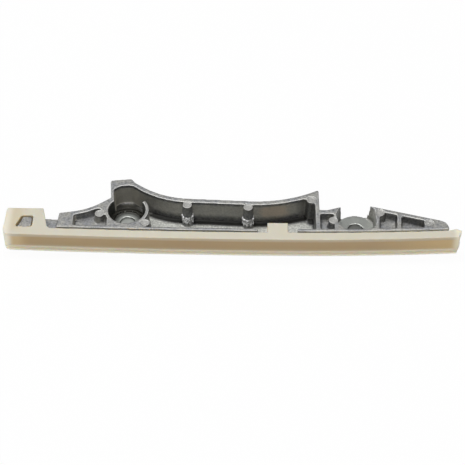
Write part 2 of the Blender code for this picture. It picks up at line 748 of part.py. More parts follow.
def make_shoe():
    shoe = prism("slide_shoe", shoe_outline(), SHOE_BOTTOM, SHOE_TOP)
    add(shoe, prism("head", head_outline(), SHOE_BOTTOM, SHOE_TOP))
    cut_head(shoe)
    cut_slide_face(shoe)
    cut_key_groove(shoe)
    add_tab(shoe)
    give_material(shoe, "natural_polyamide", SHOE_COLOUR, 0.45, 0.0)
    return shoe


def clear_scene():
    for item in list(bpy.data.objects):
        bpy.data.objects.remove(item, do_unlink=True)


clear_scene()
make_carrier()
make_shoe()
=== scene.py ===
"""Looks of the timing chain guide: its casting, its slide shoe, the floor and the light."""

import math
import random

import bmesh
import bpy
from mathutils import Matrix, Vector
from mathutils.kdtree import KDTree


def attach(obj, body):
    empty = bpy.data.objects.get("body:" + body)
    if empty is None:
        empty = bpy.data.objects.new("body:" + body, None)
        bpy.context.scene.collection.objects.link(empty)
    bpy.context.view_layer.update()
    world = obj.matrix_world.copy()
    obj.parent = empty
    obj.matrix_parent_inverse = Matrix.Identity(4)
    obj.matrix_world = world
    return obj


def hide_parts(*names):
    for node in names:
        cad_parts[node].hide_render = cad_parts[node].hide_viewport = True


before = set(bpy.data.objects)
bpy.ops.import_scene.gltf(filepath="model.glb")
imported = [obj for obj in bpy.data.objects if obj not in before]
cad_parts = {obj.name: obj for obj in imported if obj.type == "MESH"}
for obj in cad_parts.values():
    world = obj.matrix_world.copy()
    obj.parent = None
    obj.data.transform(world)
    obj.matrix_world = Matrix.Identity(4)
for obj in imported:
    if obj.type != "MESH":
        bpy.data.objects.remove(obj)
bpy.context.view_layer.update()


# Camera
# It stands where the photograph was taken from: in front of the guide, 45 degrees above it and a
# hair to the right, with a long lens, so that the guide fills the frame from edge to edge.

MM = 0.001
ELEVATION = math.radians(45.0)
YAW = math.radians(0.69)
DISTANCE = 746.0 * MM
TARGET = Vector((0.25, -19.27, 16.2)) * MM
LENS_IN_MM = 100.0
SENSOR_IN_MM = 36.0
NEAREST_SEEN = 10.0 * MM

look = Vector((-math.sin(YAW) * math.cos(ELEVATION),
               math.cos(YAW) * math.cos(ELEVATION),
               -math.sin(ELEVATION)))
camera_data = bpy.data.cameras.new("camera")
camera_data.lens = LENS_IN_MM
camera_data.sensor_width = SENSOR_IN_MM
camera_data.clip_start = NEAREST_SEEN
camera = bpy.data.objects.new("camera", camera_data)
camera.location = TARGET - look * DISTANCE
camera.rotation_euler = look.to_track_quat("-Z", "Y").to_euler()
bpy.context.scene.collection.objects.link(camera)
bpy.context.scene.camera = camera


# Carrier casting
# The carrier is one aluminium die casting: thin walls on a flat web, with a seat for each screw.
# The die leaves its rims rounded and its skin dull and grainy; the two seats and the walls round
# them are turned afterwards.

CASTING_VOXEL = 0.4 * MM
CASTING_TRIANGLES = 190000
CASTING_SMOOTHING = 2
RIM_HEIGHT = 17.0 * MM
RIM_ROUND = 0.9 * MM
RIM_PLANE_PLAY = 0.05 * MM
SHARP_ANGLE = math.radians(40.0)
FLAT_ANGLE = math.radians(0.5)
WELD_DISTANCE = 0.001 * MM
ROUND_SEGMENTS = 3
CIRCULAR_PROFILE = 0.5
SMOOTH_FACTOR = 0.5
SEAT_HEIGHT = 6.8 * MM
BOLT_A = Vector((-62.05, -2.07)) * MM
BOLT_B = Vector((72.55, -6.47)) * MM
SEAT_A_RADIUS = 11.2 * MM
SEAT_B_RADIUS = 11.2 * MM
HOLE_RADIUS = 5.2 * MM
PIN_PAD_RADIUS = 2.75 * MM
PIN_PAD_SINK = 0.6 * MM
PIN_PAD_OVERLAP = 0.3 * MM
# The seven posts from left to right, and the mark on the nose.
PIN_PADS = [Vector(place) * MM for place in (
    (-77.85, -4.87), (-50.65, -12.27), (-26.65, 2.83), (9.25, 1.23), (46.65, 7.93),
    (58.95, -9.07), (86.45, -2.47), (114.3, -10.7))]


def rounded_copy(node_name, piece_name, is_rounded, width, voxel, smoothing):
    """A copy of one of the frame's nodes, its chosen sharp edges rounded, as a fine plain mesh."""
    work = bmesh.new()
    work.from_mesh(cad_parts[node_name].data)
    bmesh.ops.remove_doubles(work, verts=work.verts, dist=WELD_DISTANCE)
    bmesh.ops.dissolve_limit(work, angle_limit=FLAT_ANGLE, verts=work.verts, edges=work.edges)
    sharp = [edge for edge in work.edges
             if len(edge.link_faces) == 2 and edge.calc_face_angle() > SHARP_ANGLE
             and is_rounded(edge)]
    bmesh.ops.bevel(work, geom=sharp, offset=width, offset_type="OFFSET", segments=ROUND_SEGMENTS,
                    profile=CIRCULAR_PROFILE, affect="EDGES", clamp_overlap=True)
    rough = bpy.data.meshes.new(piece_name + "_rough")
    work.to_mesh(rough)
    work.free()
    piece = bpy.data.objects.new(piece_name, rough)
    bpy.context.scene.collection.objects.link(piece)
    remesh = piece.modifiers.new("remesh", "REMESH")
    remesh.mode = "VOXEL"
    remesh.voxel_size = voxel
    smooth = piece.modifiers.new("smooth", "SMOOTH")
    smooth.factor = SMOOTH_FACTOR
    smooth.iterations = smoothing
    bake_modifiers(piece)
    return piece


def thin_out(piece, most_triangles):
    """Brings a mesh under the triangle limit and shades it smooth."""
    triangles = sum(len(face.vertices) - 2 for face in piece.data.polygons)
    if triangles > most_triangles:
        thin = piece.modifiers.new("thin", "DECIMATE")
        thin.ratio = most_triangles / triangles
        bake_modifiers(piece)
    for face in piece.data.polygons:
        face.use_smooth = True


def bake_modifiers(piece):
    """Turns what the modifiers show into the piece's own plain mesh."""
    evaluated = piece.evaluated_get(bpy.context.evaluated_depsgraph_get())
    made = bpy.data.meshes.new_from_object(evaluated)
    made.name = piece.name
    piece.modifiers.clear()
    piece.data = made


def linear(hex_colour):
    """A colour written as sRGB hex, in linear light."""
    parts = [int(hex_colour[i:i + 2], 16) / 255 for i in (1, 3, 5)]
    light = [p / 12.92 if p <= 0.04045 else ((p + 0.055) / 1.055) ** 2.4 for p in parts]
    return (*light, 1.0)


def add_node(tree, kind, settings, inputs):
    """Adds a node: settings are its attributes, inputs are values or the outputs that feed it."""
    made = tree.nodes.new(kind)
    for name, value in settings.items():
        setattr(made, name, value)
    for key, value in inputs.items():
        if isinstance(value, bpy.types.NodeSocket):
            tree.links.new(value, made.inputs[key])
        else:
            made.inputs[key].default_value = value
    return made


def new_finish(name):
    """A material with an empty Principled shader, its node tree and its object coordinates."""
    made = bpy.data.materials.new(name)
    made.use_nodes = True
    place = add_node(made.node_tree, "ShaderNodeTexCoord", {}, {}).outputs["Object"]
    return made, made.node_tree, made.node_tree.nodes["Principled BSDF"], place


# As-cast aluminium: dull grey from the die release, with a coarse grain and a few lighter patches.
# The upper walls carry painted light, a lighter tone, and the rim's rounded inner edges a painted
# highlight; the open web is painted lighter away from the walls' feet. Painted shade darkens the
# walls' feet, the corners and pockets, and a deeper painted shade the holes and the ear's floor
# behind the seat. Oil has baked on to one place of the rear wall and left it brown.
OIL_STAIN = Vector((25.5, 6.0, 10.5)) * MM
OIL_STAIN_CORE = 13.0 * MM
OIL_STAIN_EDGE = 20.0 * MM
OIL_STAIN_WANDER = 16.0 * MM

cast_skin, tree, shader, place = new_finish("as_cast_aluminium")
patches = add_node(tree, "ShaderNodeTexNoise", {}, {
    "Vector": place, "Scale": 1 / (7 * MM), "Detail": 3.0, "Roughness": 0.65})
# The real grain is about 0.3 mm across; it is drawn at 1.3 mm so that it shows.
grain = add_node(tree, "ShaderNodeTexNoise", {}, {
    "Vector": place, "Scale": 1 / (1.3 * MM), "Detail": 2.0, "Roughness": 0.6})
patch_tone = add_node(tree, "ShaderNodeMapRange", {"interpolation_type": "SMOOTHSTEP"}, {
    "Value": patches.outputs["Fac"], "From Min": 0.35, "From Max": 0.65})
patch_colour = add_node(tree, "ShaderNodeMix", {"data_type": "RGBA"}, {
    0: patch_tone.outputs["Result"], 6: linear("#949597"), 7: linear("#a8a7a2")})
grain_tone = add_node(tree, "ShaderNodeMapRange", {}, {
    "Value": grain.outputs["Fac"], "From Min": 0.3, "From Max": 0.7, "To Min": 0.64, "To Max": 1.34})
# Painted light: the open web is lighter away from the walls' feet.
web_light_share = add_node(tree, "ShaderNodeAttribute", {"attribute_name": "open_web"}, {})
webbed = add_node(tree, "ShaderNodeMix", {"data_type": "RGBA"}, {
    0: web_light_share.outputs["Fac"], 6: patch_colour.outputs[2], 7: linear("#bfc0bb")})
grained = add_node(tree, "ShaderNodeMix", {"data_type": "RGBA", "blend_type": "MULTIPLY"}, {
    0: 1.0, 6: webbed.outputs[2], 7: grain_tone.outputs["Result"]})
# Painted light: the walls get a lighter tone where they would catch more light.
wall_light_share = add_node(tree, "ShaderNodeAttribute", {"attribute_name": "drawn_wall"}, {})
wall_light_tone = add_node(tree, "ShaderNodeMix", {"data_type": "RGBA"}, {
    0: grain.outputs["Fac"], 6: linear("#cecbc1"), 7: linear("#f4f1e7")})
walled = add_node(tree, "ShaderNodeMix", {"data_type": "RGBA"}, {
    0: wall_light_share.outputs["Fac"], 6: grained.outputs[2], 7: wall_light_tone.outputs[2]})
# Painted highlight: the rim's rounded inner edges are lighter.
edge_highlight = add_node(tree, "ShaderNodeAttribute", {"attribute_name": "worn_edge"}, {})
edged = add_node(tree, "ShaderNodeMix", {"data_type": "RGBA"}, {
    0: edge_highlight.outputs["Fac"], 6: walled.outputs[2], 7: linear("#dadad6")})
# Painted shade: darker at the walls' feet, in corners and pockets and under the rim.
corner_shade = add_node(tree, "ShaderNodeAttribute", {"attribute_name": "foot_residue"}, {})
dimmed = add_node(tree, "ShaderNodeMix", {"data_type": "RGBA"}, {
    0: corner_shade.outputs["Fac"], 6: edged.outputs[2], 7: linear("#3e3e3c")})
# Deeper painted shade: the holes, the ear's floor and the left seat's outer ring are near black.
hollow_shade = add_node(tree, "ShaderNodeAttribute", {"attribute_name": "oil_film"}, {})
hollow_darkened = add_node(tree, "ShaderNodeMix", {"data_type": "RGBA"}, {
    0: hollow_shade.outputs["Fac"], 6: dimmed.outputs[2], 7: linear("#2d2c28")})
from_stain = add_node(tree, "ShaderNodeVectorMath", {"operation": "DISTANCE"}, {
    0: place, 1: OIL_STAIN})
stain_edge = add_node(tree, "ShaderNodeMath", {"operation": "MULTIPLY_ADD"}, {
    0: patches.outputs["Fac"], 1: OIL_STAIN_WANDER, 2: from_stain.outputs["Value"]})
stain_share = add_node(tree, "ShaderNodeMapRange", {"interpolation_type": "SMOOTHSTEP"}, {
    "Value": stain_edge.outputs["Value"], "From Min": OIL_STAIN_CORE,
    "From Max": OIL_STAIN_EDGE, "To Min": 0.9, "To Max": 0.0})
wall_stain = add_node(tree, "ShaderNodeMath", {"operation": "MULTIPLY"}, {
    0: stain_share.outputs["Result"], 1: wall_light_share.outputs["Fac"]})
stained = add_node(tree, "ShaderNodeMix", {"data_type": "RGBA"}, {
    0: wall_stain.outputs["Value"], 6: hollow_darkened.outputs[2], 7: linear("#f8e3cb")})
cast_roughness = add_node(tree, "ShaderNodeMapRange", {}, {
    "Value": grain.outputs["Fac"], "From Min": 0.3, "From Max": 0.7, "To Min": 0.5, "To Max": 0.64})
edge_roughness = add_node(tree, "ShaderNodeMath", {"operation": "MULTIPLY_ADD"}, {
    0: edge_highlight.outputs["Fac"], 1: -0.06, 2: cast_roughness.outputs["Result"]})
cast_bump = add_node(tree, "ShaderNodeBump", {}, {
    "Strength": 0.55, "Distance": 0.1 * MM, "Height": grain.outputs["Fac"]})
tree.links.new(stained.outputs[2], shader.inputs["Base Color"])
tree.links.new(edge_roughness.outputs["Value"], shader.inputs["Roughness"])
tree.links.new(cast_bump.outputs["Normal"], shader.inputs["Normal"])
shader.inputs["Metallic"].default_value = 1.0

# Turned aluminium: the screw seats are cut by a tool that leaves fine rings, bright and even.
# The rings are 0.2 mm apart; they are drawn at 0.9 mm so that they show.
TURNED_PITCH = 0.9 * MM

turned, tree, shader, place = new_finish("turned_aluminium_seat")
flat = add_node(tree, "ShaderNodeVectorMath", {"operation": "MULTIPLY"}, {
    0: place, 1: (1.0, 1.0, 0.0)})
from_a = add_node(tree, "ShaderNodeVectorMath", {"operation": "DISTANCE"}, {
    0: flat.outputs["Vector"], 1: BOLT_A.to_3d()})
from_b = add_node(tree, "ShaderNodeVectorMath", {"operation": "DISTANCE"}, {
    0: flat.outputs["Vector"], 1: BOLT_B.to_3d()})
nearest = add_node(tree, "ShaderNodeMath", {"operation": "MINIMUM"}, {
    0: from_a.outputs["Value"], 1: from_b.outputs["Value"]})
height = add_node(tree, "ShaderNodeSeparateXYZ", {}, {"Vector": place})
travel = add_node(tree, "ShaderNodeMath", {"operation": "ADD"}, {
    0: nearest.outputs["Value"], 1: height.outputs["Z"]})
turns = add_node(tree, "ShaderNodeMath", {"operation": "MULTIPLY"}, {
    0: travel.outputs["Value"], 1: 2 * math.pi / TURNED_PITCH})
wave = add_node(tree, "ShaderNodeMath", {"operation": "SINE"}, {0: turns.outputs["Value"]})
haze = add_node(tree, "ShaderNodeTexNoise", {}, {
    "Vector": place, "Scale": 1 / (2.5 * MM), "Detail": 2.0})
tone = add_node(tree, "ShaderNodeMix", {"data_type": "RGBA"}, {
    0: haze.outputs["Fac"], 6: linear("#afb3ae"), 7: linear("#c8cac5")})
ring_tone = add_node(tree, "ShaderNodeMapRange", {}, {
    "Value": wave.outputs["Value"], "From Min": -1.0, "From Max": 1.0,
    "To Min": 0.9, "To Max": 1.06})
ringed = add_node(tree, "ShaderNodeMix", {"data_type": "RGBA", "blend_type": "MULTIPLY"}, {
    0: 1.0, 6: tone.outputs[2], 7: ring_tone.outputs["Result"]})
# The same deeper painted shade darkens the seats' holes and the left seat's outer ring.
hollow_shade = add_node(tree, "ShaderNodeAttribute", {"attribute_name": "oil_film"}, {})
seat_darkened = add_node(tree, "ShaderNodeMix", {"data_type": "RGBA"}, {
    0: hollow_shade.outputs["Fac"], 6: ringed.outputs[2], 7: linear("#2d2c28")})
ring_bump = add_node(tree, "ShaderNodeBump", {}, {
    "Strength": 0.25, "Distance": 0.03 * MM, "Height": wave.outputs["Value"]})
tree.links.new(seat_darkened.outputs[2], shader.inputs["Base Color"])
tree.links.new(ring_bump.outputs["Normal"], shader.inputs["Normal"])
shader.inputs["Metallic"].default_value = 1.0
shader.inputs["Roughness"].default_value = 0.36


def on_rim(edge):
    """Whether an edge lies in the casting's rim plane."""
    return all(vert.co.z > RIM_HEIGHT - RIM_PLANE_PLAY for vert in edge.verts)


def smooth_step(low, high, value):
    """0 below low, 1 above high, with a smooth rise between them."""
    share = min(1.0, max(0.0, (value - low) / (high - low)))
    return share * share * (3 - 2 * share)


# Where the casting's skin differs, and where light and shade are painted on it, is stored on its
# points as shares from 0 to 1. The functions that follow give each share from a point's place and
# normal.
# A pair is where a share starts and ends.
# The first four values say how far a normal leans to a side for its face to count as facing it.
SLIGHTLY = 0.3
HALFWAY = 0.5
MOSTLY = 0.7
NEARLY = 0.9
UPRIGHT = (0.3, 0.7)
EAR_OPENS = (-58.0 * MM, -44.0 * MM)
POST_REACH = 3.3 * MM


def upright(normal):
    """How upright a face stands: 1 on a wall, 0 on a floor or a rim."""
    return 1 - smooth_step(*UPRIGHT, abs(normal.z))


def in_ear(co):
    """How far a place is inside the ear, which opens to the right into the main hollow."""
    return 1 - smooth_step(*EAR_OPENS, co.x)


def from_post(co):
    """How far a place is from the axis of the nearest post."""
    return min((co.xy - pad).length for pad in PIN_PADS)


EAR_LEFT = -74.0 * MM
EAR_FRONT = 9.5 * MM
EAR_FLOOR_UNSHADED = 19.0 * MM
HOLLOW_RIGHT = 43.0 * MM
HOLLOW_FRONT = -4.0 * MM
HOLLOW_WALL_LIGHT = 0.55
HOLLOW_ABOVE_FOOT = (4.0 * MM, 9.0 * MM)
UNDER_RIM = (14.6 * MM, 15.8 * MM)
REAR_FACING = (0.2, 0.6)
LEFT_FACING = (0.75, 0.95)
ARM_POST_LIGHT = 0.5
ARM_POST_RIGHT = (-0.1, 0.5)
FRONT_WALL_REAR = -9.5 * MM
FRONT_SHOWS_FROM = 15.6 * MM
FRONT_WALL_LIGHT = 0.5
ARM_POCKET_END = -88.0 * MM
ARM_POCKET_FLOOR = 11.6 * MM
ARM_POCKET_LIGHT = 0.9
NOSE_FACE_FROM = BOLT_B.x + 8.0 * MM
NOSE_FACE_TO = 88.0 * MM
NOSE_FACE_LIGHT = 0.35


def drawn_wall(co, normal):
    """How much painted light a wall gets, as a lighter tone: most in the ear and at the arm pocket's
    end, less on that pocket's post and none on its right side, in the main hollow, on the front
    above the shoe and on the left face of the nose's block, and none on the outer faces behind and
    at the left.
    """
    if (co.xy - PIN_PADS[0]).length < POST_REACH:
        return ARM_POST_LIGHT * upright(normal) * (1 - smooth_step(*ARM_POST_RIGHT, normal.x))
    if normal.y < -MOSTLY and co.y < FRONT_WALL_REAR and co.z > FRONT_SHOWS_FROM:
        return FRONT_WALL_LIGHT
    if co.x < ARM_POCKET_END and normal.x > SLIGHTLY and co.z > ARM_POCKET_FLOOR:
        return ARM_POCKET_LIGHT * upright(normal)
    if NOSE_FACE_FROM < co.x < NOSE_FACE_TO and normal.x < -SLIGHTLY and co.z > SEAT_HEIGHT:
        return NOSE_FACE_LIGHT * upright(normal)
    in_hollow = EAR_LEFT <= co.x <= HOLLOW_RIGHT and co.y >= HOLLOW_FRONT
    if not in_hollow or from_post(co) < POST_REACH:
        return 0.0
    lightness = HOLLOW_WALL_LIGHT * upright(normal) * smooth_step(*HOLLOW_ABOVE_FOOT, co.z)
    if co.y > EAR_FRONT and (normal.z < HALFWAY or co.y > EAR_FLOOR_UNSHADED):
        lightness = max(lightness, in_ear(co))
    outer = max(smooth_step(*REAR_FACING, normal.y), smooth_step(*LEFT_FACING, -normal.x))
    return (1 - smooth_step(*UNDER_RIM, co.z)) * lightness * (1 - outer)


JUST_ABOVE_WEB = 3.2 * MM
FOOT_BAND = (JUST_ABOVE_WEB, JUST_ABOVE_WEB + 1.5 * MM)
CLEAR_OF_POST = 3.8 * MM
WEB_OPENS = (3.0 * MM, 4.8 * MM)


def wall_feet(piece):
    """The points at the feet of the walls that face the front, for quick distances."""
    feet = [vert.co for vert in piece.data.vertices
            if vert.normal.y < -HALFWAY and FOOT_BAND[0] < vert.co.z < FOOT_BAND[1]
            and from_post(vert.co) > CLEAR_OF_POST]
    tree = KDTree(len(feet))
    for i, foot in enumerate(feet):
        tree.insert(foot, i)
    tree.balance()
    return tree


def open_web(co, normal):
    """How much painted light lightens the web: none next to the walls' feet, all of it in the
    middle.
    """
    if co.z > JUST_ABOVE_WEB or normal.z < NEARLY:
        return 0.0
    return smooth_step(*WEB_OPENS, feet_of_walls.find(co)[2])


FILLET_TOP = 4.2 * MM
FILLET_SLOPE = 0.25
FOOT_FADES = (2.4 * MM, 4.0 * MM)
FOOT_SHARE = 0.95
SEAT_B_CORNER = 14.5 * MM
SEAT_B_CORNER_TOP = 9.5 * MM
SEAT_B_LEVEL = (0.97, 0.995)
SEAT_B_SHARE = 0.15
LOW_WALL = (4.0 * MM, 8.0 * MM)
LOW_SHARE = 0.4
POCKETS_FROM_B = 17.0 * MM
POCKET_TOP = RIM_HEIGHT - 1.2 * MM
POCKET_SHARE = 0.35
DARK_CORNER = (36.0 * MM, 44.0 * MM)
DARK_CORNER_END = 51.0 * MM
DARK_CORNER_SHARE = 0.5
UNDER_EDGE = (RIM_HEIGHT - 1.3 * MM, RIM_HEIGHT - 0.8 * MM)
UNDER_EDGE_FACING = (0.0, 0.2)
UNDER_EDGE_SHARE = 0.4
LEVEL = (0.7, 0.92)


def foot_residue(co, normal):
    """How much painted shade darkens the skin: at the feet of the walls, beside the right screw's
    seat, in the small pockets, at the main hollow's right end and under its rim.
    """
    ear_unshaded = in_ear(co) if co.y > EAR_FRONT else 0.0
    if co.z < FILLET_TOP and normal.z > FILLET_SLOPE:
        return FOOT_SHARE * (1 - smooth_step(*FOOT_FADES, feet_of_walls.find(co)[2])) * (1 - ear_unshaded)
    from_b = (co.xy - BOLT_B).length
    if SEAT_B_RADIUS < from_b < SEAT_B_CORNER and co.x > BOLT_B.x and co.z < SEAT_B_CORNER_TOP:
        return SEAT_B_SHARE * (1 - smooth_step(*SEAT_B_LEVEL, normal.z))
    share = LOW_SHARE * (1 - ear_unshaded) * (1 - smooth_step(*LOW_WALL, co.z))
    right_of_hollow = co.x > HOLLOW_RIGHT
    if right_of_hollow and from_b > POCKETS_FROM_B and co.z < POCKET_TOP:
        share = POCKET_SHARE
    if co.x < DARK_CORNER_END and co.z < POCKET_TOP:
        share = max(share, DARK_CORNER_SHARE * smooth_step(*DARK_CORNER, co.x))
    if not right_of_hollow:
        under_edge = smooth_step(*UNDER_EDGE, co.z) * (1 - smooth_step(*UNDER_EDGE_FACING, normal.y))
        share = max(share, UNDER_EDGE_SHARE * under_edge)
    return share * (1 - smooth_step(*LEVEL, normal.z))


BELOW_SEAT = SEAT_HEIGHT - 0.2 * MM
HOLE_A_TOP = (SEAT_HEIGHT - 2.2 * MM, SEAT_HEIGHT - 1.0 * MM)
HOLE_A_SHARE = 0.25
HOLE_A_TOP_SHARE = 0.4
HOLE_B_SHARE = 0.72
EAR_FLOOR_FRONT = BOLT_A.y + SEAT_A_RADIUS - 1.5 * MM
EAR_FLOOR_FADES = (16.0 * MM, EAR_FLOOR_UNSHADED)
EAR_FLOOR_SHARE = 0.85
COUNTERBORE_FROM = SEAT_HEIGHT - 0.5 * MM
COUNTERBORE_TO = RIM_HEIGHT - 1.5 * MM
COUNTERBORE_SHARE = 0.45
SEAT_A_RING = (4.4 * MM, 8.8 * MM)


def oil_film(co, normal):
    """How dark the deeper painted shade is: in the holes, on the ear's floor, and on the left seat's
    outer ring and wall.
    """
    from_a = (co.xy - BOLT_A).length
    if co.z < BELOW_SEAT and from_a < HOLE_RADIUS:
        return HOLE_A_SHARE + HOLE_A_TOP_SHARE * smooth_step(*HOLE_A_TOP, co.z)
    if co.z < BELOW_SEAT and (co.xy - BOLT_B).length < HOLE_RADIUS:
        return HOLE_B_SHARE
    if co.z < JUST_ABOVE_WEB and normal.z > HALFWAY and co.y > EAR_FLOOR_FRONT:
        return EAR_FLOOR_SHARE * (1 - smooth_step(*EAR_FLOOR_FADES, co.y)) * in_ear(co)
    if from_a > SEAT_A_RADIUS or not COUNTERBORE_FROM < co.z < COUNTERBORE_TO:
        return 0.0
    if normal.z < HALFWAY:
        return COUNTERBORE_SHARE
    return smooth_step(*SEAT_A_RING, from_a)


NEAR_RIM = (RIM_HEIGHT - 1.0 * MM, RIM_HEIGHT - 0.3 * MM)
ROUND_STARTS = (0.85, 0.97)
ROUND_ENDS = (0.99, 0.9995)
OUTER_EDGE = (0.1, 0.3)
FRONT_RIM = (-14.0 * MM, -11.0 * MM)
FRONT_RIM_HIGHLIGHT = 0.3
RIM_HIGHLIGHT = 0.65


def worn_edge(co, normal):
    """How strong the rim's painted highlight is: only on its rounded inner edges, and less at the
    front.
    """
    rounded = smooth_step(*ROUND_STARTS, normal.z) * (1 - smooth_step(*ROUND_ENDS, normal.z))
    inner = 1 - smooth_step(*OUTER_EDGE, normal.y)
    behind_front = FRONT_RIM_HIGHLIGHT + (1 - FRONT_RIM_HIGHLIGHT) * smooth_step(*FRONT_RIM, co.y)
    return RIM_HIGHLIGHT * smooth_step(*NEAR_RIM, co.z) * rounded * inner * behind_front


def paint_shares(piece, **shares):
    """Stores each share on the piece's points under its name, for the material to read."""
    for name, share in shares.items():
        layer = piece.data.attributes.new(name, "FLOAT", "POINT")
        for item, vert in zip(layer.data, piece.data.vertices):
            item.value = share(vert.co, vert.normal)


TURNED_FROM = SEAT_HEIGHT - 0.3 * MM
TURNED_TO = RIM_HEIGHT - 0.4 * MM


def is_turned(centre):
    """Whether a face belongs to a screw seat, its hole or the turned wall round it."""
    from_a = (centre.xy - BOLT_A).length
    from_b = (centre.xy - BOLT_B).length
    in_seat = from_a < SEAT_A_RADIUS or from_b < SEAT_B_RADIUS
    in_hole = min(from_a, from_b) < HOLE_RADIUS
    return in_seat and (in_hole or centre.z > TURNED_FROM) and centre.z < TURNED_TO


casting = rounded_copy("carrier_casting", "casting", on_rim, RIM_ROUND, CASTING_VOXEL,
                       CASTING_SMOOTHING)
for vert in casting.data.vertices:
    near_rim = vert.co.z > RIM_HEIGHT - 2 * PIN_PAD_SINK
    if near_rim and from_post(vert.co) < PIN_PAD_RADIUS - PIN_PAD_OVERLAP:
        vert.co.z -= PIN_PAD_SINK
thin_out(casting, CASTING_TRIANGLES)
feet_of_walls = wall_feet(casting)
paint_shares(casting, drawn_wall=drawn_wall, open_web=open_web, worn_edge=worn_edge,
             foot_residue=foot_residue, oil_film=oil_film)
casting.data.materials.clear()
casting.data.materials.append(cast_skin)
casting.data.materials.append(turned)
for face in casting.data.polygons:
    if is_turned(face.center):
        face.material_index = 1
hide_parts("carrier_casting")
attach(casting, "root")


# Pin pads
# The pins that push the casting out of its die press a round pad with a shallow dish into the top
# of each post and into the nose. The pads are part of the casting and a little brighter.

PAD_EDGE = 0.25 * MM
PAD_DISH_RADIUS = 1.75 * MM
PAD_DISH_SLOPE = 0.3 * MM
PAD_DISH_DEPTH = 0.14 * MM
PAD_DEPTH = 1.2 * MM
PAD_SIDES = 40
PAD_BELOW_RIM = 0.02 * MM
PAD_NUB_FOOT = 0.4 * PAD_DISH_RADIUS
PAD_NUB_TOP = 0.3 * PAD_DISH_RADIUS
PAD_NUB_DEPTH = 0.4 * PAD_DISH_DEPTH
PAD_TURN = 0.5
# The middle of a rounded edge lies this share of its width in from the corner.
ROUND_MIDDLE = 0.3

# Pressed aluminium: each pad keeps the ground face of its pin, whose marks are drawn at 0.9 mm.
pressed, tree, shader, place = new_finish("pin_pressed_aluminium")
grain = add_node(tree, "ShaderNodeTexNoise", {}, {
    "Vector": place, "Scale": 1 / (0.9 * MM), "Detail": 2.0})
tone = add_node(tree, "ShaderNodeMix", {"data_type": "RGBA"}, {
    0: grain.outputs["Fac"], 6: linear("#a1a19e"), 7: linear("#c9c8c4")})
pad_bump = add_node(tree, "ShaderNodeBump", {}, {
    "Strength": 0.25, "Distance": 0.05 * MM, "Height": grain.outputs["Fac"]})
tree.links.new(tone.outputs[2], shader.inputs["Base Color"])
tree.links.new(pad_bump.outputs["Normal"], shader.inputs["Normal"])
shader.inputs["Metallic"].default_value = 1.0
shader.inputs["Roughness"].default_value = 0.5


def turned_template(name, profile, sides):
    """A closed shape turned from a profile (radius, height), with a flat cap at each end."""
    work = bmesh.new()
    rings = []
    for radius, height in profile:
        angles = [2 * math.pi * i / sides for i in range(sides)]
        rings.append([work.verts.new((radius * math.cos(a), radius * math.sin(a), height))
                      for a in angles])
    for lower, upper in zip(rings, rings[1:]):
        for i in range(sides):
            j = (i + 1) % sides
            work.faces.new((lower[i], lower[j], upper[j], upper[i]))
    work.faces.new(reversed(rings[0]))
    work.faces.new(rings[-1])
    return template_object(name, work)


def template_object(name, work):
    """Makes a shape that is only instanced, and isn't itself in the scene."""
    bmesh.ops.recalc_face_normals(work, faces=work.faces)
    mesh = bpy.data.meshes.new(name)
    work.to_mesh(mesh)
    work.free()
    return bpy.data.objects.new(name, mesh)


def placed_copies(name, template, finish, places, turns, sizes, spread):
    """One plain mesh of a template's copies, set at the places given, turned and sized."""
    tree = bpy.data.node_groups.new(name + "_tree", "GeometryNodeTree")
    sockets = {}
    for label, kind in (("Places", "NodeSocketGeometry"), ("Template", "NodeSocketObject"),
                        ("Size", "NodeSocketFloat")):
        sockets[label] = tree.interface.new_socket(label, in_out="INPUT", socket_type=kind)
    tree.interface.new_socket("Geometry", in_out="OUTPUT", socket_type="NodeSocketGeometry")
    source = add_node(tree, "NodeGroupInput", {}, {})
    shape = add_node(tree, "GeometryNodeObjectInfo", {}, {"Object": source.outputs["Template"]})
    turn = add_node(tree, "GeometryNodeInputNamedAttribute", {"data_type": "FLOAT_VECTOR"}, {
        "Name": "turn"})
    size = add_node(tree, "GeometryNodeInputNamedAttribute", {"data_type": "FLOAT_VECTOR"}, {
        "Name": "size"})
    scaled = add_node(tree, "ShaderNodeVectorMath", {"operation": "SCALE"}, {
        "Vector": size.outputs["Attribute"], "Scale": source.outputs["Size"]})
    to_turn = add_node(tree, "FunctionNodeEulerToRotation", {}, {
        "Euler": turn.outputs["Attribute"]})
    set_out = add_node(tree, "GeometryNodeInstanceOnPoints", {}, {
        "Points": source.outputs["Places"], "Instance": shape.outputs["Geometry"],
        "Rotation": to_turn.outputs["Rotation"], "Scale": scaled.outputs["Vector"]})
    real = add_node(tree, "GeometryNodeRealizeInstances", {}, {
        "Geometry": set_out.outputs["Instances"]})
    dressed = add_node(tree, "GeometryNodeSetMaterial", {}, {
        "Geometry": real.outputs["Geometry"], "Material": finish})
    add_node(tree, "NodeGroupOutput", {}, {"Geometry": dressed.outputs["Geometry"]})
    mesh = bpy.data.meshes.new(name + "_places")
    mesh.from_pydata([tuple(place) for place in places], [], [])
    for label, values in (("turn", turns), ("size", sizes)):
        layer = mesh.attributes.new(label, "FLOAT_VECTOR", "POINT")
        for item, value in zip(layer.data, values):
            item.vector = value
    piece = bpy.data.objects.new(name, mesh)
    bpy.context.scene.collection.objects.link(piece)
    step = piece.modifiers.new("copies", "NODES")
    step.node_group = tree
    step[sockets["Template"].identifier] = template
    step[sockets["Size"].identifier] = spread
    bake_modifiers(piece)
    for face in piece.data.polygons:
        face.use_smooth = True
    return piece


